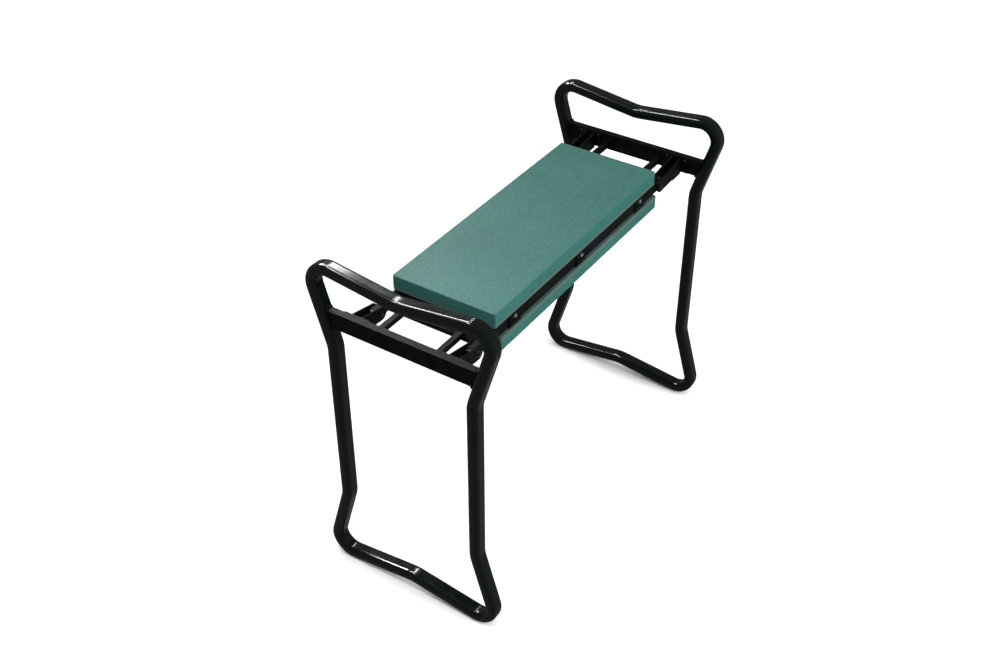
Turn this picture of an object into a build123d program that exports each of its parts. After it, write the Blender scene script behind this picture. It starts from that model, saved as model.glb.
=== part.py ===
"""Folding garden kneeler seat: a foam seat on a steel core, between two looped leg frames.

Units are millimetres. +X runs along the seat, +Y across it, +Z up. The origin is on the floor,
under the middle of the seat. "left" and "right" are the -X and +X ends, "front" and "back" are
the -Y and +Y sides. Turned over, the long legs are grab handles and the grips are the feet.
"""
from build123d import *
from math import atan2, cos, degrees, radians, sin, tan
import os

# ---- driving dimensions -------------------------------------------------------------------

# Leg frames: one closed loop of flat-sided oval tube at each end, wide at grip and foot,
# narrow along the legs. Widths and heights are to the corners of the bent centreline.
FRAME_X = 284.0            # from the middle of the seat to a frame's own plane
TUBE_WIDE = 21.0           # across the frame's plane
TUBE_THIN = 16.0           # in the frame's plane
TUBE_CORNER = 6.0
TUBE_WALL = 1.5
CORNER_Y = 137.5
NECK_Y = 103.0
LOOP_HEIGHT = 481.6
KNEE_RISE = 117.0          # from a grip or foot corner to the knee
GRIP_DIP = 17.0            # the grip sags and the foot arches by this at its middle
CORNER_BEND = 25.0
KNEE_BEND = 45.0
DIP_BEND = 60.0
BUTT_WELD_Z = 345.0        # where the grip bow meets the leg bow

# Seat: foam pad, board and cross plates on a pair of rails, the same above and below. The
# lower board and pad are a little wider than the upper ones. They stop short at the left end
# and reach a little further at the right.
SEAT_MID_Z = 403.5
UPPER_ENDS_X = (-201.0, 201.0)
UPPER_WIDTH = 152.0
UPPER_PAD_THICK = 16.0
LOWER_ENDS_X = (-192.0, 204.0)
LOWER_WIDTH = 158.0
LOWER_PAD_THICK = 14.0
PAD_CORNER = 2.5
PAD_ROUND = 1.6            # rolled edge round a pad's face
BOARD_THICK = 5.5
BOARD_ROUND = 1.0
PLATE_X = (-158.0, 0.0, 158.0)
CROSS_PLATE_GAUGE = 2.0
CROSS_PLATE_WIDE = 24.0
CROSS_PLATE_DROP = 6.0     # how far its ears reach over a rail's outer face
CROSS_PLATE_BEND = 1.9     # outside radius where an ear turns down
RAIL_WIDE = 8.0
RAIL_TALL = 14.0
RAIL_WALL = 1.5
HINGE_Y = 71.0             # middle of a rail, and of the hinge on its end
LEFT_MEMBER_X = -218.0     # middle of each end cross-member
RIGHT_MEMBER_X = 200.0
MEMBER_WIDE = 10.0
MEMBER_TALL = 5.7

# Hinges. The left leg folds first and lies close under the lower pad, and the right leg folds
# over it, so the right pivot stands further from its frame.
LEFT_PIVOT_X = -240.5
RIGHT_PIVOT_X = 216.5
PIVOT_Z = SEAT_MID_Z
PIN_R = 3.0
PIN_RUNNING = 0.06
WASHER_THICK = 1.5
WASHER_R = 6.5
HINGE_PLAY = 0.1           # each side of the rail, beside the washer
EAR_GAUGE = 2.5
EAR_END_R = 9.0
EAR_ROOT = 1.0             # strip on the base that an ear grows from, at its full height
RAIL_PAST_PIVOT = 8.0
PLUG_FLANGE = 1.5
PLUG_ROUND = 1.2
PLUG_INSERT = 4.0

# Crossbars join the two sides of a loop and carry the hinge brackets and the stop arms.
BAR_DEEP = 10.0
BAR_TALL = 24.0
BAR_WALL = 1.5
BAR_MID_Z = 408.7
PLATE_WIDE = 38.0
PLATE_TALL = 22.0
FLOOR_LENGTH = 24.0
RIVET_STEP_Y = 14.0
RIVET_STEP_Z = 6.5

# Stop arms: square bars that reach from a crossbar past the pivots and end just over the
# seat's end cross-member, so a leg cannot open past upright.
ARM_Y = 42.0
ARM_SIZE = 8.0
ARM_GAP = 0.3              # above the cross-member
ARM_ROUND = 0.8
LEFT_ARM_END_X = -219.5
RIGHT_ARM_END_X = 202.0
ARM_BOLT_R = 2.5
ARM_BOLT_DEPTH = 8.0
ARM_BOLT_HEAD_R = 4.5
ARM_BOLT_DOME = 2.2

# Rivets
SIDE_RIVET_R = 1.6
SIDE_RIVET_HEAD_R = 3.0
PLATE_RIVET_R = 1.8
PLATE_RIVET_HEAD_R = 3.4
RIVET_DOME = 1.8
RIVET_GRIP = 0.5           # how far a blind rivet reaches past the wall it holds
PIN_HEAD_R = 5.5
PIN_HEAD_DOME = 2.6
PIN_TAIL_R = 4.5           # the end that is riveted over, between the rails
SEATED = 0.02              # radial play of a rivet in its own hole

# ---- worked out from those ----------------------------------------------------------------

SIDES = {"front": -1, "back": 1}
PIVOT_X = {"left": LEFT_PIVOT_X, "right": RIGHT_PIVOT_X}
ENDS = {"left": -1, "right": 1}
BAR_INNER_X = FRAME_X - BAR_DEEP / 2
BAR_OUTER_X = FRAME_X + BAR_DEEP / 2
RAIL_TOP_Z = SEAT_MID_Z + RAIL_TALL / 2
RAIL_BOTTOM_Z = SEAT_MID_Z - RAIL_TALL / 2
RAIL_OUTER_Y = HINGE_Y + RAIL_WIDE / 2
BOARD_Z = RAIL_TOP_Z + CROSS_PLATE_GAUGE
PAD_Z = BOARD_Z + BOARD_THICK
EAR_IN = RAIL_WIDE / 2 + WASHER_THICK + HINGE_PLAY
EAR_OUT = EAR_IN + EAR_GAUGE
MEMBER_X = {"left": LEFT_MEMBER_X, "right": RIGHT_MEMBER_X}
MEMBER_MID_Z = RAIL_BOTTOM_Z + MEMBER_TALL / 2
ARM_MID_Z = RAIL_BOTTOM_Z + MEMBER_TALL + ARM_GAP + ARM_SIZE / 2
ARM_END_X = {"left": LEFT_ARM_END_X, "right": RIGHT_ARM_END_X}
SIDE_RIVET_Z = RAIL_TOP_Z - CROSS_PLATE_DROP / 2

# A corner's arc stays inside its own corner point, so the lowest point of the tube is worked
# out from the slope of the foot and the turn at the corner.
FOOT_SLOPE = atan2(GRIP_DIP, CORNER_Y)
LEG_LEAN = atan2(CORNER_Y - NECK_Y, KNEE_RISE)
CORNER_TURN = radians(90) + LEG_LEAN + FOOT_SLOPE
CORNER_TANGENT = CORNER_BEND * tan(CORNER_TURN / 2)
CORNER_LIFT = CORNER_TANGENT * sin(FOOT_SLOPE) - CORNER_BEND * (1 - cos(FOOT_SLOPE))
FOOT_Z = TUBE_THIN / 2 - CORNER_LIFT
GRIP_Z = FOOT_Z + LOOP_HEIGHT


def bow(end, middle_z, corner_z, knee_z):
    """A U of tube from one butt weld to the other, through the knees and corners."""
    x = ENDS[end] * FRAME_X
    half = [(NECK_Y, BUTT_WELD_Z), (NECK_Y, knee_z), (CORNER_Y, corner_z)]
    points = half + [(0, middle_z)] + [(-y, z) for y, z in reversed(half)]
    bends = [KNEE_BEND, CORNER_BEND, DIP_BEND, CORNER_BEND, KNEE_BEND]
    path = FilletPolyline(*[(x, y, z) for y, z in points], radius=bends)
    start = Plane(origin=path @ 0, x_dir=(1, 0, 0), z_dir=path % 0)
    outer = RectangleRounded(TUBE_WIDE, TUBE_THIN, TUBE_CORNER)
    inner = RectangleRounded(
        TUBE_WIDE - 2 * TUBE_WALL, TUBE_THIN - 2 * TUBE_WALL, TUBE_CORNER - TUBE_WALL
    )
    return sweep(start * outer, path) - sweep(start * inner, path)


def grip_bow(end):
    return bow(end, GRIP_Z - GRIP_DIP, GRIP_Z, GRIP_Z - KNEE_RISE)


def leg_bow(end):
    return bow(end, FOOT_Z + GRIP_DIP, FOOT_Z, FOOT_Z + KNEE_RISE)


def crossbar(end):
    """Box tube whose ends are cut to the lean of the loop's two sides."""
    x = ENDS[end] * FRAME_X
    knee_z = GRIP_Z - KNEE_RISE
    long_side = 2 * CORNER_Y
    bar = Pos(x, 0, BAR_MID_Z) * (
        Box(BAR_DEEP, long_side, BAR_TALL)
        - Box(BAR_DEEP - 2 * BAR_WALL, long_side, BAR_TALL - 2 * BAR_WALL)
    )
    for side in SIDES.values():
        lean = -side * degrees(LEG_LEAN)
        at_knee = Pos(x, side * NECK_Y, knee_z) * Rot(lean, 0, 0)
        past_tube = Pos(0, side * (long_side - TUBE_THIN) / 2, 0) * Box(
            3 * BAR_DEEP, long_side, 2 * LOOP_HEIGHT
        )
        bar -= at_knee * past_tube
    for side in SIDES.values():
        bar -= plate_rivet_shanks(end, side, SEATED)
        bar -= arm_bolt_shank(end, side, SEATED)
    return bar


def plate_rivet_places(side):
    for y_step in (-RIVET_STEP_Y, RIVET_STEP_Y):
        for z_step in (-RIVET_STEP_Z, RIVET_STEP_Z):
            yield side * HINGE_Y + y_step, BAR_MID_Z + z_step


def plate_rivet_shanks(end, side, play=0.0):
    """Shanks from under the heads to just inside the crossbar's near wall."""
    reach = EAR_GAUGE + BAR_WALL + RIVET_GRIP
    x = ENDS[end] * (BAR_INNER_X - EAR_GAUGE + reach / 2)
    return [
        Pos(x, y, z) * Rot(0, 90, 0) * Cylinder(PLATE_RIVET_R + play, reach)
        for y, z in plate_rivet_places(side)
    ]


def dome(radius, height, axis_turn):
    """A low rivet head: flat on the XY plane before it is turned."""
    sphere_r = (radius**2 + height**2) / (2 * height)
    ball = Pos(0, 0, height - sphere_r) * Sphere(sphere_r)
    keep = Pos(0, 0, sphere_r) * Box(4 * sphere_r, 4 * sphere_r, 2 * sphere_r)
    return axis_turn * (ball & keep)


def bracket_rivets(end):
    """The eight blind rivets that hold both hinge brackets of one leg."""
    inwards = Rot(0, -90 * ENDS[end], 0)
    head_x = ENDS[end] * (BAR_INNER_X - EAR_GAUGE)
    rivets = []
    for side in SIDES.values():
        places = plate_rivet_places(side)
        for shank, (y, z) in zip(plate_rivet_shanks(end, side), places):
            head = Pos(head_x, y, z) * dome(PLATE_RIVET_HEAD_R, RIVET_DOME, inwards)
            rivets.append(shank + head)
    return Compound(children=rivets)


def hinge_bracket(end, side):
    """Folded plate: a base on the crossbar, a floor, and two ears out to the pivot."""
    out = ENDS[end]
    pivot = abs(PIVOT_X[end])
    base_face = BAR_INNER_X - EAR_GAUGE
    outline = make_hull(
        (
            Sketch()
            + Pos(pivot, PIVOT_Z) * Circle(EAR_END_R)
            + Pos(base_face - EAR_ROOT / 2, BAR_MID_Z) * Rectangle(EAR_ROOT, PLATE_TALL)
        ).edges()
    )
    bracket = Pos(out * (BAR_INNER_X - EAR_GAUGE / 2), 0, BAR_MID_Z) * Box(
        EAR_GAUGE, PLATE_WIDE, PLATE_TALL
    )
    for offset in (EAR_IN + EAR_GAUGE / 2, -EAR_IN - EAR_GAUGE / 2):
        ear = extrude(Plane.XZ * outline, EAR_GAUGE / 2, both=True)
        if out < 0:
            ear = mirror(ear, Plane.YZ)
        bracket += Pos(0, offset, 0) * ear
    floor_z = PIVOT_Z - EAR_END_R + EAR_GAUGE / 2
    floor_x = out * (BAR_INNER_X - EAR_GAUGE - FLOOR_LENGTH / 2)
    bracket += Pos(floor_x, 0, floor_z) * Box(FLOOR_LENGTH, 2 * EAR_OUT, EAR_GAUGE)
    bracket -= Pos(out * pivot, 0, PIVOT_Z) * across(PIN_R + SEATED, 4 * EAR_OUT)
    bracket = Pos(0, side * HINGE_Y, 0) * bracket
    return bracket - plate_rivet_shanks(end, side, SEATED)


def across(radius, length):
    """A cylinder along Y, centred on the origin."""
    return Rot(90, 0, 0) * Cylinder(radius, length)


def hinge_pin(end, side):
    """Rivet through both ears, with its large head on the outside of the seat."""
    outer = Pos(0, side * EAR_OUT, 0) * dome(PIN_HEAD_R, PIN_HEAD_DOME, Rot(-90 * side, 0, 0))
    inner = Pos(0, -side * EAR_OUT, 0) * dome(PIN_TAIL_R, RIVET_DOME, Rot(90 * side, 0, 0))
    pin = across(PIN_R, 2 * EAR_OUT) + outer + inner
    return Pos(PIVOT_X[end], side * HINGE_Y, PIVOT_Z) * pin


def hinge_washers(end, side):
    """Two nylon washers that keep the ears off the rail."""
    ring = across(WASHER_R, WASHER_THICK) - across(PIN_R + PIN_RUNNING, 2 * WASHER_THICK)
    step = EAR_IN - WASHER_THICK / 2 - HINGE_PLAY / 2
    place = Pos(PIVOT_X[end], side * HINGE_Y, PIVOT_Z)
    return Compound(children=[place * Pos(0, s * step, 0) * ring for s in (-1, 1)])


def rail(side):
    """Box tube along one side of the seat. Both leg frames pivot on its ends."""
    left = LEFT_PIVOT_X - RAIL_PAST_PIVOT
    right = RIGHT_PIVOT_X + RAIL_PAST_PIVOT
    body = Box(right - left, RAIL_WIDE, RAIL_TALL) - Box(
        right - left, RAIL_WIDE - 2 * RAIL_WALL, RAIL_TALL - 2 * RAIL_WALL
    )
    body = Pos((left + right) / 2, side * HINGE_Y, SEAT_MID_Z) * body
    for x in PIVOT_X.values():
        body -= Pos(x, side * HINGE_Y, PIVOT_Z) * across(PIN_R + PIN_RUNNING, 2 * RAIL_WIDE)
    return body - side_rivet_shanks(side, SEATED)


def rail_plug(end, side):
    """Plastic stopper in the open end of a rail."""
    out = ENDS[end]
    mouth = PIVOT_X[end] + out * RAIL_PAST_PIVOT
    flange = Pos(out * PLUG_FLANGE / 2, 0, 0) * Box(PLUG_FLANGE, RAIL_WIDE, RAIL_TALL)
    flange = fillet(flange.edges().filter_by(Axis.X), PLUG_ROUND)
    insert = Pos(-out * PLUG_INSERT / 2, 0, 0) * Box(
        PLUG_INSERT, RAIL_WIDE - 2 * RAIL_WALL, RAIL_TALL - 2 * RAIL_WALL
    )
    return Pos(mouth, side * HINGE_Y, SEAT_MID_Z) * (flange + insert)


def side_rivet_shanks(side, play=0.0):
    """Shanks through the ears of the upper cross plates and a rail's outer wall."""
    reach = CROSS_PLATE_GAUGE + RAIL_WALL + RIVET_GRIP
    y = side * (RAIL_OUTER_Y + CROSS_PLATE_GAUGE - reach / 2)
    return [Pos(x, y, SIDE_RIVET_Z) * across(SIDE_RIVET_R + play, reach) for x in PLATE_X]


def side_rivets(side):
    """Three bright blind rivets that hold the upper cross plates to one rail."""
    face_y = side * (RAIL_OUTER_Y + CROSS_PLATE_GAUGE)
    rivets = []
    for shank, x in zip(side_rivet_shanks(side), PLATE_X):
        head = dome(SIDE_RIVET_HEAD_R, RIVET_DOME, Rot(-90 * side, 0, 0))
        rivets.append(shank + Pos(x, face_y, SIDE_RIVET_Z) * head)
    return Compound(children=rivets)


def cross_member(end):
    """Flat bar between the rails at one end of the seat, under the stop arms."""
    length = 2 * HINGE_Y - RAIL_WIDE
    member = Box(MEMBER_WIDE, length, MEMBER_TALL)
    return Pos(MEMBER_X[end], 0, MEMBER_MID_Z) * member


def cross_plates():
    """Three straps across the top of the rails, with ears turned down over their sides."""
    span = 2 * (RAIL_OUTER_Y + CROSS_PLATE_GAUGE)
    plate = Pos(0, 0, RAIL_TOP_Z + CROSS_PLATE_GAUGE / 2) * Box(
        CROSS_PLATE_WIDE, span, CROSS_PLATE_GAUGE
    )
    for side in SIDES.values():
        ear_y = side * (RAIL_OUTER_Y + CROSS_PLATE_GAUGE / 2)
        plate += Pos(0, ear_y, RAIL_TOP_Z - CROSS_PLATE_DROP / 2) * Box(
            CROSS_PLATE_WIDE, CROSS_PLATE_GAUGE, CROSS_PLATE_DROP
        )
    bends = plate.edges().filter_by(Axis.X).group_by(Axis.Z)[-1]
    plate = fillet(bends, CROSS_PLATE_BEND)
    return Compound(children=[Pos(x, 0, 0) * plate for x in PLATE_X])


def upper_cross_plates():
    plates = []
    for plate in cross_plates().solids():
        for side in SIDES.values():
            plate -= side_rivet_shanks(side, SEATED)
        plates.append(plate)
    return Compound(children=plates)


def below(shape):
    """The same shape under the rails."""
    return mirror(shape, Plane.XY.offset(SEAT_MID_Z))


def slab(ends_x, width, low_z, thick):
    """Flat sheet with rounded corners in plan, from low_z up."""
    outline = RectangleRounded(ends_x[1] - ends_x[0], width, PAD_CORNER)
    middle_x = (ends_x[0] + ends_x[1]) / 2
    return extrude(Pos(middle_x, 0, low_z) * outline, thick)


def board(ends_x, width):
    """Stiff sheet that spreads the load of a pad over the cross plates."""
    sheet = slab(ends_x, width, BOARD_Z, BOARD_THICK)
    return fillet(sheet.faces().sort_by(Axis.Z)[0].edges(), BOARD_ROUND)


def pad(ends_x, width, thick):
    """Foam pad with a rolled edge round its face."""
    foam = slab(ends_x, width, PAD_Z, thick)
    return fillet(foam.faces().sort_by(Axis.Z)[-1].edges(), PAD_ROUND)


def arm_bolt_shank(end, side, play=0.0):
    """Shank through the crossbar and into the end of a stop arm."""
    reach = BAR_DEEP + ARM_BOLT_DEPTH
    x = ENDS[end] * (BAR_OUTER_X - reach / 2)
    return Pos(x, side * ARM_Y, ARM_MID_Z) * Rot(0, 90, 0) * Cylinder(ARM_BOLT_R + play, reach)


def arm_bolts(end):
    """The two bolts that hold the stop arms, with low black heads outside the crossbar."""
    bolts = []
    for side in SIDES.values():
        head = dome(ARM_BOLT_HEAD_R, ARM_BOLT_DOME, Rot(0, 90 * ENDS[end], 0))
        head = Pos(ENDS[end] * BAR_OUTER_X, side * ARM_Y, ARM_MID_Z) * head
        bolts.append(arm_bolt_shank(end, side) + head)
    return Compound(children=bolts)


def stop_arm(end, side):
    """Square bar from the crossbar's inner face to just over the seat's cross-member."""
    from_x = ENDS[end] * BAR_INNER_X
    length = abs(from_x - ARM_END_X[end])
    arm = Box(length, ARM_SIZE, ARM_SIZE)
    arm = fillet(arm.edges().filter_by(Axis.X), ARM_ROUND)
    arm = Pos((from_x + ARM_END_X[end]) / 2, side * ARM_Y, ARM_MID_Z) * arm
    return arm - arm_bolt_shank(end, side, SEATED)


def all_nodes():
    """Every piece by name."""
    nodes = {
        "upper_pad": pad(UPPER_ENDS_X, UPPER_WIDTH, UPPER_PAD_THICK),
        "lower_pad": below(pad(LOWER_ENDS_X, LOWER_WIDTH, LOWER_PAD_THICK)),
        "upper_board": board(UPPER_ENDS_X, UPPER_WIDTH),
        "lower_board": below(board(LOWER_ENDS_X, LOWER_WIDTH)),
        "upper_cross_plates": upper_cross_plates(),
        "lower_cross_plates": below(cross_plates()),
    }
    for side_name, side in SIDES.items():
        nodes[f"{side_name}_rail"] = rail(side)
        nodes[f"{side_name}_side_rivets"] = side_rivets(side)
    for end in ENDS:
        nodes[f"{end}_cross_member"] = cross_member(end)
        nodes[f"{end}_grip_bow"] = grip_bow(end)
        nodes[f"{end}_leg_bow"] = leg_bow(end)
        nodes[f"{end}_crossbar"] = crossbar(end)
        nodes[f"{end}_bracket_rivets"] = bracket_rivets(end)
        nodes[f"{end}_arm_bolts"] = arm_bolts(end)
        for side_name, side in SIDES.items():
            corner = f"{end}_{side_name}"
            nodes[f"{corner}_stop_arm"] = stop_arm(end, side)
            nodes[f"{corner}_rail_plug"] = rail_plug(end, side)
            nodes[f"{corner}_hinge_bracket"] = hinge_bracket(end, side)
            nodes[f"{corner}_hinge_pin"] = hinge_pin(end, side)
            nodes[f"{corner}_hinge_washers"] = hinge_washers(end, side)
    return nodes


os.makedirs("parts", exist_ok=True)
for name, shape in all_nodes().items():
    export_step(shape, f"parts/{name}.step")
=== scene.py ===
import math

import bmesh
import bpy
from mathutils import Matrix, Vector


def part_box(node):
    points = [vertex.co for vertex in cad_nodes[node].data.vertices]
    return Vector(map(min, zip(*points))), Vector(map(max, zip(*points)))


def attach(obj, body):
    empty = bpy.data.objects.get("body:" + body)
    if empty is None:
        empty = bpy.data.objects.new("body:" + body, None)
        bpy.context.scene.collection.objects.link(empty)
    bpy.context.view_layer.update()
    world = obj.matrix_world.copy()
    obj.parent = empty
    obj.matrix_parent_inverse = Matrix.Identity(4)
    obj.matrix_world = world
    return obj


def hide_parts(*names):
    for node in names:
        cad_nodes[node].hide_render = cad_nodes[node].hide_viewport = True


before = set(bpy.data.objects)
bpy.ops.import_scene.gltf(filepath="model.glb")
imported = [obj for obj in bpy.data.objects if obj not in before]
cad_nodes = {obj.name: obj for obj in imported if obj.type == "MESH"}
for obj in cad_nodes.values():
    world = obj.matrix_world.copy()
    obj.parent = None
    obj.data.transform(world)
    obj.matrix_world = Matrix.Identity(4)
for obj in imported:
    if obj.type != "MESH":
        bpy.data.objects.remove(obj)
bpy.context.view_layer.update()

# ---- Foam pads ----------------------------------------------------------------------------
# Two slabs of closed-cell foam, one to sit on and one to kneel on. Each is cut from sheet,
# its edge is pressed warm so that it rolls over, and it is glued to its board.
PAD_GREEN = (0.0170, 0.0820, 0.0700, 1.0)
PAD_GREEN_WORN = (0.0340, 0.1290, 0.1120, 1.0)
PAD_CORNER = 0.0025
PAD_ROLL = 0.0016
RIM_FLAT = 0.0003             # a narrow flat beside the roll, before the crown starts
CROWN_STEPS = ((0.012, 0.0004), (0.018, 0.0003), (0.022, 0.0002))  # inwards, upwards
ROUND_SEGMENTS = 6
UPRIGHT = 0.9                 # an edge this near to vertical is a corner of the slab
LEVEL = 1e-6                  # how near a vertex is to the pad's open face
FACING = 0.9999               # how nearly the open face's normal points straight out
SMOOTH_ANGLE = math.radians(40)
MOTTLE_SHARE = 0.55           # how much of the colour change is fine, and the rest broad
CELLS_PER_METRE = 420.0


def new_material(name):
    """An empty principled material, with its nodes, links, shader and object coordinates."""
    material = bpy.data.materials.new(name)
    material.use_nodes = True
    tree = material.node_tree
    shader = tree.nodes["Principled BSDF"]
    place = tree.nodes.new("ShaderNodeTexCoord")
    return material, tree.nodes, tree.links, shader, place.outputs["Object"]


def noise(shader_nodes, links, place, scale, detail=3.0, roughness=0.5):
    """Noise on object coordinates, with a scale in waves per metre."""
    texture = shader_nodes.new("ShaderNodeTexNoise")
    texture.inputs["Scale"].default_value = scale
    texture.inputs["Detail"].default_value = detail
    texture.inputs["Roughness"].default_value = roughness
    links.new(place, texture.inputs["Vector"])
    return texture.outputs["Fac"]


def remap(shader_nodes, links, value, low, high, to_low, to_high):
    """The value stretched from one range to another and held inside it."""
    ramp = shader_nodes.new("ShaderNodeMapRange")
    ramp.inputs["From Min"].default_value = low
    ramp.inputs["From Max"].default_value = high
    ramp.inputs["To Min"].default_value = to_low
    ramp.inputs["To Max"].default_value = to_high
    links.new(value, ramp.inputs["Value"])
    return ramp.outputs["Result"]


def blend_colours(shader_nodes, links, amount, first, second):
    """A colour between two others."""
    mix = shader_nodes.new("ShaderNodeMix")
    mix.data_type = "RGBA"
    mix.inputs[6].default_value = first
    mix.inputs[7].default_value = second
    links.new(amount, mix.inputs["Factor"])
    return mix.outputs[2]


def add_bump(shader_nodes, links, shader, height, strength, distance, under=None):
    """Relief from a height, over any relief that is there already."""
    bump = shader_nodes.new("ShaderNodeBump")
    bump.inputs["Strength"].default_value = strength
    bump.inputs["Distance"].default_value = distance
    links.new(height, bump.inputs["Height"])
    if under is not None:
        links.new(under, bump.inputs["Normal"])
    links.new(bump.outputs["Normal"], shader.inputs["Normal"])
    return bump.outputs["Normal"]


def foam_material():
    """Fine pebbled foam skin, mottled, and a little paler in broad patches where it is rubbed."""
    material, shader_nodes, links, shader, place = new_material("pad_foam")
    patches = noise(shader_nodes, links, place, scale=9.0, detail=4.0)
    broad = remap(shader_nodes, links, patches, 0.35, 0.7, 0.0, 1.0)
    pebble = noise(shader_nodes, links, place, scale=620.0, detail=3.0)
    mottle = noise(shader_nodes, links, place, scale=240.0, detail=6.0, roughness=0.65)
    fine = remap(shader_nodes, links, mottle, 0.38, 0.62, 0.0, 1.0)
    amount = shader_nodes.new("ShaderNodeMix")
    amount.inputs["Factor"].default_value = MOTTLE_SHARE
    links.new(broad, amount.inputs[2])
    links.new(fine, amount.inputs[3])
    colour = blend_colours(shader_nodes, links, amount.outputs[0], PAD_GREEN, PAD_GREEN_WORN)
    links.new(colour, shader.inputs["Base Color"])
    rough = remap(shader_nodes, links, pebble, 0.3, 0.7, 0.52, 0.68)
    links.new(rough, shader.inputs["Roughness"])
    shader.inputs["Specular IOR Level"].default_value = 0.20
    relief = add_bump(shader_nodes, links, shader, pebble, strength=0.45, distance=0.0006)
    cells = shader_nodes.new("ShaderNodeTexVoronoi")
    cells.inputs["Scale"].default_value = CELLS_PER_METRE
    links.new(place, cells.inputs["Vector"])
    edges = cells.outputs["Distance"]
    add_bump(shader_nodes, links, shader, edges, strength=0.22, distance=0.0004, under=relief)
    return material


def select_faces(mesh, wanted):
    """Selects the faces that pass a test, in edit mode, and no other."""
    bpy.ops.mesh.select_all(action="DESELECT")
    shape = bmesh.from_edit_mesh(mesh)
    for face in shape.faces:
        face.select_set(wanted(face))
    shape.select_flush_mode()
    bmesh.update_edit_mesh(mesh)


def select_edges(mesh, wanted):
    """Selects the edges that pass a test, in edit mode, and no other."""
    bpy.ops.mesh.select_all(action="DESELECT")
    bpy.ops.mesh.select_mode(type="EDGE")
    shape = bmesh.from_edit_mesh(mesh)
    for edge in shape.edges:
        edge.select_set(wanted(edge))
    bmesh.update_edit_mesh(mesh)


def block_over(name, low, high):
    """A cube primitive that fills a box, with its place in its mesh."""
    bpy.ops.object.select_all(action="DESELECT")
    bpy.ops.mesh.primitive_cube_add(size=1.0, location=(low + high) / 2)
    block = bpy.context.object
    block.name = name
    block.scale = high - low
    bpy.ops.object.transform_apply(location=True, rotation=True, scale=True)
    return block


def step_in(half, inwards, rise, centre):
    """Steps the selected face inwards and up, and returns its new half size."""
    smaller = Vector((half.x - inwards, half.y - inwards, half.z))
    bpy.ops.mesh.extrude_region()
    bpy.ops.transform.resize(
        value=(smaller.x / half.x, smaller.y / half.y, 1.0), center_override=centre
    )
    bpy.ops.transform.translate(value=(0, 0, rise))
    return smaller


def foam_pad(name, cad_node, up):
    """A pad with rounded corners, a rolled edge and a low crown."""
    low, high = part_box(cad_node)
    pad = block_over(name, low, high)
    bpy.ops.object.mode_set(mode="EDIT")
    select_edges(pad.data, lambda e: abs((e.verts[0].co - e.verts[1].co).normalized().z) > UPRIGHT)
    bpy.ops.mesh.bevel(offset=PAD_CORNER, segments=ROUND_SEGMENTS, affect="EDGES")
    bpy.ops.mesh.select_mode(type="FACE")
    face_z = high.z if up > 0 else low.z
    select_edges(pad.data, lambda e: all(abs(v.co.z - face_z) < LEVEL for v in e.verts))
    bpy.ops.mesh.bevel(offset=PAD_ROLL, segments=ROUND_SEGMENTS, affect="EDGES")
    bpy.ops.mesh.select_mode(type="FACE")
    select_faces(pad.data, lambda f: f.normal.z * up > FACING)
    centre = Vector(((low.x + high.x) / 2, (low.y + high.y) / 2, face_z))
    half = (high - low) / 2 - Vector((PAD_ROLL, PAD_ROLL, 0))
    half = step_in(half, RIM_FLAT, 0.0, centre)
    for inwards, rise in CROWN_STEPS:
        half = step_in(half, inwards, up * rise, centre)
    bpy.ops.object.mode_set(mode="OBJECT")
    bpy.ops.object.shade_smooth_by_angle(angle=SMOOTH_ANGLE)
    pad.data.materials.append(foam)
    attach(pad, "seat")
    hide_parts(cad_node)


foam = foam_material()
foam_pad("sitting_pad", "upper_pad", 1)
foam_pad("kneeling_pad", "lower_pad", -1)

# ---- Boards -------------------------------------------------------------------------------
# A stiff moulded sheet behind each pad spreads the load over the cross plates. It is a greyer
# green than the foam, with a fine sparked grain.
BOARD_GREEN = (0.046, 0.086, 0.076, 1.0)
BOARD_GREEN_PALE = (0.060, 0.106, 0.094, 1.0)


def board_material():
    """Greyer green moulded sheet, a little paler in places, with a fine grain."""
    material, shader_nodes, links, shader, place = new_material("moulded_board")
    waves = noise(shader_nodes, links, place, scale=14.0)
    drift = remap(shader_nodes, links, waves, 0.35, 0.65, 0.0, 1.0)
    colour = blend_colours(shader_nodes, links, drift, BOARD_GREEN, BOARD_GREEN_PALE)
    links.new(colour, shader.inputs["Base Color"])
    grain = noise(shader_nodes, links, place, scale=1300.0, detail=2.0)
    links.new(remap(shader_nodes, links, grain, 0.3, 0.7, 0.45, 0.62), shader.inputs["Roughness"])
    add_bump(shader_nodes, links, shader, grain, strength=0.25, distance=0.0003)
    return material


def paint(material, *names):
    """Gives CAD nodes a material, in every slot that they have."""
    for name in names:
        mesh = cad_nodes[name].data
        if not mesh.materials:
            mesh.materials.append(material)
        for index in range(len(mesh.materials)):
            mesh.materials[index] = material


paint(board_material(), "upper_board", "lower_board")

# ---- Leg loops ----------------------------------------------------------------------------
# Flat-sided oval steel tube, bent into a grip bow and a leg bow at each end, butt-welded,
# ground flush and powder-coated gloss black. The coat has a faint orange peel, and it is
# rubbed dull where the loop stands on the ground.
ENDS = ("left", "right")
COAT_BLACK = (0.0022, 0.0038, 0.0033, 1.0)
COAT_DUSTY = (0.030, 0.031, 0.031, 1.0)
RUBBED_HEIGHT = 0.012
RUBBED_ROUGHNESS = 0.35       # added to the coat's own where it is rubbed


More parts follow.
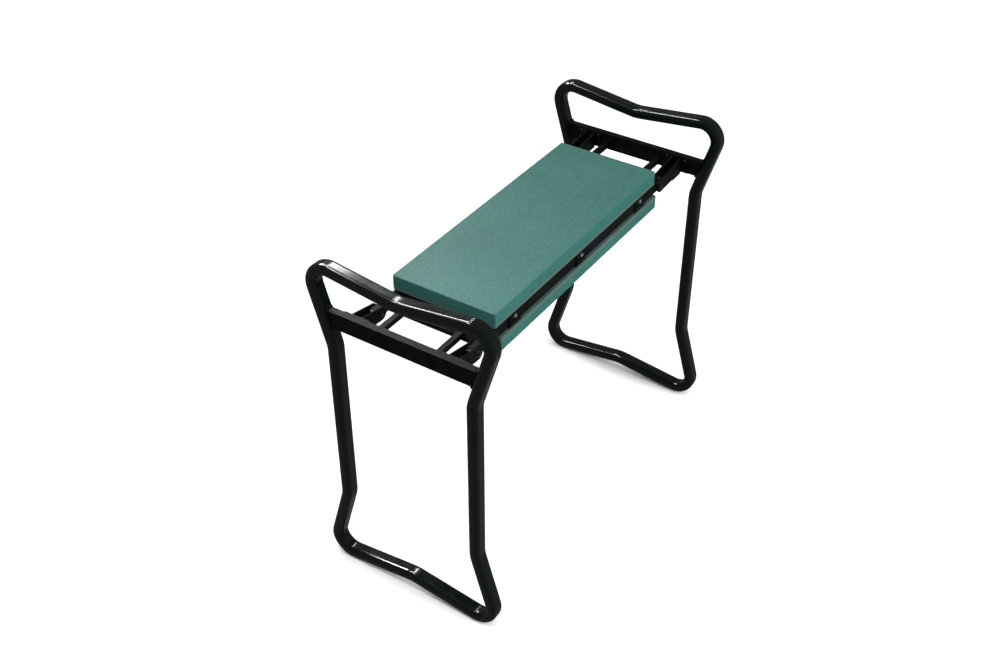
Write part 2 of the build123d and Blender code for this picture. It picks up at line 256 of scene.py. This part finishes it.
def gloss_coat_material():
    """Gloss coat with a faint orange peel, uneven in its shine and dusty at the ground."""
    material, shader_nodes, links, shader, place = new_material("gloss_black_coat")
    split = shader_nodes.new("ShaderNodeSeparateXYZ")
    links.new(place, split.inputs["Vector"])
    near_ground = remap(shader_nodes, links, split.outputs["Z"], 0.0, RUBBED_HEIGHT, 1.0, 0.0)
    scratches = noise(shader_nodes, links, place, scale=160.0, detail=5.0)
    scuffs = remap(shader_nodes, links, scratches, 0.45, 0.62, 0.0, 1.0)
    rubbed = shader_nodes.new("ShaderNodeMath")
    rubbed.operation = "MULTIPLY"
    links.new(near_ground, rubbed.inputs[0])
    links.new(scuffs, rubbed.inputs[1])
    colour = blend_colours(shader_nodes, links, rubbed.outputs["Value"], COAT_BLACK, COAT_DUSTY)
    links.new(colour, shader.inputs["Base Color"])
    handling = noise(shader_nodes, links, place, scale=22.0, detail=4.0)
    smears = remap(shader_nodes, links, handling, 0.35, 0.7, 0.10, 0.22)
    rough = shader_nodes.new("ShaderNodeMath")
    rough.operation = "MULTIPLY_ADD"
    links.new(rubbed.outputs["Value"], rough.inputs[0])
    rough.inputs[1].default_value = RUBBED_ROUGHNESS
    links.new(smears, rough.inputs[2])
    links.new(rough.outputs["Value"], shader.inputs["Roughness"])
    shader.inputs["Specular IOR Level"].default_value = 0.24
    peel = noise(shader_nodes, links, place, scale=330.0, detail=2.0)
    add_bump(shader_nodes, links, shader, peel, strength=0.02, distance=0.0003)
    return material


gloss_coat = gloss_coat_material()
for end in ENDS:
    paint(gloss_coat, f"{end}_grip_bow", f"{end}_leg_bow")

# ---- Crossbars, rails, hinge brackets and stop arms --------------------------------------
# Box tube, folded plate and square bar, all sprayed satin black. The coat is thinner than the
# loops', with more texture and a cloudy sheen.
SIDES = ("front", "back")
SATIN_BLACK = (0.0018, 0.0026, 0.0025, 1.0)
SATIN_GREY = (0.0048, 0.0060, 0.0058, 1.0)


def satin_coat_material():
    """Thin satin coat with a fine grain and cloudy patches of grey."""
    material, shader_nodes, links, shader, place = new_material("satin_black_coat")
    patches = noise(shader_nodes, links, place, scale=60.0, detail=5.0)
    cloud = remap(shader_nodes, links, patches, 0.4, 0.75, 0.0, 1.0)
    colour = blend_colours(shader_nodes, links, cloud, SATIN_BLACK, SATIN_GREY)
    links.new(colour, shader.inputs["Base Color"])
    grain = noise(shader_nodes, links, place, scale=700.0, detail=3.0)
    links.new(remap(shader_nodes, links, grain, 0.3, 0.7, 0.30, 0.46), shader.inputs["Roughness"])
    shader.inputs["Specular IOR Level"].default_value = 0.05
    add_bump(shader_nodes, links, shader, grain, strength=0.20, distance=0.0003)
    return material


satin_coat = satin_coat_material()
paint(satin_coat, "upper_cross_plates", "lower_cross_plates")
for side in SIDES:
    paint(satin_coat, f"{side}_rail")
for end in ENDS:
    paint(satin_coat, f"{end}_crossbar", f"{end}_cross_member")
    paint(satin_coat, f"{end}_bracket_rivets", f"{end}_arm_bolts")
    for side in SIDES:
        paint(satin_coat, f"{end}_{side}_hinge_bracket", f"{end}_{side}_stop_arm")

# ---- Weld beads ---------------------------------------------------------------------------
# Each crossbar is welded to the two sides of its loop. The bead runs right round the bar's
# end, follows the lean of the tube, and was coated with the rest.
BEAD_PROUD = 0.0019
BEAD_LONG = 0.0056
BEAD_ROUND = 0.0014
BEAD_RIPPLE = 0.00032
BEAD_CUTS = 3
CORNER_TOLERANCE = 1e-4       # how near a vertex is to the bar's top or bottom


def lean_of_loop(bar):
    """The lean of a crossbar's end from upright, and how far out it is at mid-height."""
    corners = [v.co for v in cad_nodes[bar].data.vertices if v.co.y > 0]
    low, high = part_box(bar)
    top = max(c.y for c in corners if high.z - c.z < CORNER_TOLERANCE)
    bottom = max(c.y for c in corners if c.z - low.z < CORNER_TOLERANCE)
    return math.atan2(top - bottom, high.z - low.z), (top + bottom) / 2


def weld_bead(name, bar, side, body):
    """A rounded, slightly rippled collar round one end of a crossbar."""
    low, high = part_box(bar)
    lean, end_y = lean_of_loop(bar)
    middle = Vector(((low.x + high.x) / 2, side * end_y, (low.z + high.z) / 2))
    tall = (high.z - low.z) / math.cos(lean)
    half = Vector(((high.x - low.x) / 2 + BEAD_PROUD, BEAD_LONG / 2, tall / 2 + BEAD_PROUD))
    bead = block_over(name, middle - half, middle + half)
    bpy.ops.object.mode_set(mode="EDIT")
    bpy.ops.mesh.select_all(action="SELECT")
    bpy.ops.mesh.bevel(offset=BEAD_ROUND, segments=2, affect="EDGES")
    bpy.ops.mesh.select_all(action="SELECT")
    bpy.ops.mesh.subdivide(number_cuts=BEAD_CUTS)
    bpy.ops.transform.vertex_random(offset=BEAD_RIPPLE, seed=3)
    bpy.ops.transform.rotate(value=side * lean, orient_axis="X", center_override=middle)
    bpy.ops.object.mode_set(mode="OBJECT")
    softened = bead.modifiers.new("softened", "SUBSURF")
    softened.levels = 1
    softened.render_levels = 1
    bpy.ops.object.modifier_apply(modifier=softened.name)
    bpy.ops.object.shade_smooth()
    bead.data.materials.append(satin_coat)
    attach(bead, body)


for end in ENDS:
    for side_name, side in zip(SIDES, (-1, 1)):
        weld_bead(f"{end}_{side_name}_weld", f"{end}_crossbar", side, f"{end}_leg")

# ---- Rivets and hinge pins ----------------------------------------------------------------
# The blind rivets along the seat's sides are zinc-plated and left bright. The hinge pins are
# blackened steel, riveted over, and their heads are polished a little by handling.
ZINC = (0.80, 0.81, 0.82, 1.0)
ZINC_DULL = (0.52, 0.52, 0.51, 1.0)
BLACKENED = (0.045, 0.046, 0.048, 1.0)
BLACKENED_WORN = (0.16, 0.16, 0.165, 1.0)


def plated_material(name, fresh, dull):
    """Metal that is bright in places and dull in others."""
    material, shader_nodes, links, shader, place = new_material(name)
    spots = noise(shader_nodes, links, place, scale=240.0, detail=4.0)
    tarnish = remap(shader_nodes, links, spots, 0.4, 0.7, 0.0, 1.0)
    colour = blend_colours(shader_nodes, links, tarnish, fresh, dull)
    links.new(colour, shader.inputs["Base Color"])
    links.new(remap(shader_nodes, links, tarnish, 0.0, 1.0, 0.18, 0.42), shader.inputs["Roughness"])
    shader.inputs["Metallic"].default_value = 1.0
    grain = noise(shader_nodes, links, place, scale=1500.0)
    add_bump(shader_nodes, links, shader, grain, strength=0.15, distance=0.0002)
    return material


zinc = plated_material("bright_zinc", ZINC, ZINC_DULL)
blackened_steel = plated_material("blackened_steel", BLACKENED, BLACKENED_WORN)
for side in SIDES:
    paint(zinc, f"{side}_side_rivets")
    for end in ENDS:
        paint(blackened_steel, f"{end}_{side}_hinge_pin")

# ---- Rail plugs and hinge washers ---------------------------------------------------------
# Both are moulded in black nylon. The plugs are pushed into the rails' open ends, and the
# washers keep each rail and the ear of its hinge bracket apart.
NYLON_BLACK = (0.016, 0.016, 0.017, 1.0)
NYLON_GREY = (0.030, 0.030, 0.031, 1.0)


def nylon_material():
    """Dull black nylon with a fine moulded grain."""
    material, shader_nodes, links, shader, place = new_material("black_nylon")
    waves = noise(shader_nodes, links, place, scale=90.0)
    drift = remap(shader_nodes, links, waves, 0.4, 0.65, 0.0, 1.0)
    colour = blend_colours(shader_nodes, links, drift, NYLON_BLACK, NYLON_GREY)
    links.new(colour, shader.inputs["Base Color"])
    grain = noise(shader_nodes, links, place, scale=1100.0, detail=2.0)
    links.new(remap(shader_nodes, links, grain, 0.3, 0.7, 0.42, 0.58), shader.inputs["Roughness"])
    add_bump(shader_nodes, links, shader, grain, strength=0.2, distance=0.0002)
    return material


nylon = nylon_material()
for end in ENDS:
    for side in SIDES:
        paint(nylon, f"{end}_{side}_rail_plug", f"{end}_{side}_hinge_washers")

# ---- Floor, light and camera --------------------------------------------------------------
# A white floor under strips, boxes and one broad overhead light, seen from above the left
# end of the seat.
FLOOR_SIZE = 60.0
FLOOR_WHITE = (0.93, 0.93, 0.93, 1.0)
FLOOR_SOFT_WHITE = (0.91, 0.91, 0.91, 1.0)
FLOOR_ROUGHNESS = 0.9
# name, place, width, height, watts, and whether it shows in the gloss or lights the colour
LIGHTS = (
    ("handle_strip", (0.19, 0.72, 1.32), 0.90, 0.06, 16.0, "gloss"),
    ("dip_strip", (-0.20, 0.53, 1.41), 0.50, 0.04, 9.0, "gloss"),
    ("foot_strip", (0.10, 0.94, 1.11), 0.60, 0.09, 24.0, "gloss"),
    ("near_box", (-0.55, 0.15, 1.10), 0.30, 0.30, 4.0, "colour"),
    ("side_box", (0.10, -1.60, 0.35), 1.20, 0.50, 23.0, "colour"),
    ("front_box", (0.70, -1.70, 1.05), 0.90, 0.50, 12.0, "colour"),
    ("front_glint", (0.70, -1.70, 1.05), 0.90, 0.50, 4.0, "gloss"),
)
SKY_FILL = 0.22
SKY_SEEN = 1.0
DOME_STRENGTH = 3.3
DOME_ANGLE = math.radians(110)
DOME_TILT = (math.radians(12), math.radians(8), 0.0)
AIM = Vector((0.0, 0.0, 0.32))
VIEW_AZIMUTH = math.radians(-56.66)
VIEW_ELEVATION = math.radians(37.15)
VIEW_DISTANCE = 1.7694
VIEW_TARGET = Vector((-0.0319, 0.0285, 0.2571))
LENS = 46.1
SENSOR_WIDTH = 36.0


def floor_material():
    """Plain off-white floor that varies a little in tone."""
    material, shader_nodes, links, shader, place = new_material("pale_floor")
    waves = noise(shader_nodes, links, place, scale=3.0)
    drift = remap(shader_nodes, links, waves, 0.3, 0.7, 0.0, 1.0)
    colour = blend_colours(shader_nodes, links, drift, FLOOR_WHITE, FLOOR_SOFT_WHITE)
    links.new(colour, shader.inputs["Base Color"])
    shader.inputs["Roughness"].default_value = FLOOR_ROUGHNESS
    return material


bpy.ops.object.select_all(action="DESELECT")
bpy.ops.mesh.primitive_plane_add(size=FLOOR_SIZE, location=(0, 0, 0))
floor = bpy.context.object
floor.name = "studio_floor"
floor.data.materials.append(floor_material())
floor.visible_glossy = False
floor.visible_diffuse = False

for name, spot, width, height, watts, seen_in in LIGHTS:
    light = bpy.data.lights.new(name, "AREA")
    light.shape = "RECTANGLE"
    light.size = width
    light.size_y = height
    light.energy = watts
    holder = bpy.data.objects.new(name, light)
    holder.location = spot
    holder.rotation_euler = (AIM - Vector(spot)).to_track_quat("-Z", "Y").to_euler()
    holder.visible_glossy = seen_in == "gloss"
    holder.visible_diffuse = seen_in == "colour"
    bpy.context.scene.collection.objects.link(holder)

dome = bpy.data.lights.new("overhead_dome", "SUN")
dome.energy = DOME_STRENGTH
dome.angle = DOME_ANGLE
dome_holder = bpy.data.objects.new("overhead_dome", dome)
dome_holder.rotation_euler = DOME_TILT
dome_holder.visible_glossy = False
bpy.context.scene.collection.objects.link(dome_holder)

world = bpy.data.worlds.new("studio")
world.use_nodes = True
sky = world.node_tree.nodes["Background"]
sky.inputs["Color"].default_value = (1.0, 1.0, 1.0, 1.0)
# The camera sees a white sky, and the object is lit by a weaker one.
ray = world.node_tree.nodes.new("ShaderNodeLightPath")
strength = world.node_tree.nodes.new("ShaderNodeMapRange")
strength.inputs["To Min"].default_value = SKY_FILL
strength.inputs["To Max"].default_value = SKY_SEEN
world.node_tree.links.new(ray.outputs["Is Camera Ray"], strength.inputs["Value"])
world.node_tree.links.new(strength.outputs["Result"], sky.inputs["Strength"])
bpy.context.scene.world = world
bpy.context.scene.view_settings.view_transform = "Standard"

camera = bpy.data.objects.new("camera", bpy.data.cameras.new("camera"))
camera.data.lens = LENS
camera.data.sensor_width = SENSOR_WIDTH
back = Vector(
    (
        math.sin(VIEW_AZIMUTH) * math.cos(VIEW_ELEVATION),
        -math.cos(VIEW_AZIMUTH) * math.cos(VIEW_ELEVATION),
        math.sin(VIEW_ELEVATION),
    )
)
camera.location = VIEW_TARGET + back * VIEW_DISTANCE
camera.rotation_euler = (-back).to_track_quat("-Z", "Y").to_euler()
bpy.context.scene.collection.objects.link(camera)
bpy.context.scene.camera = camera
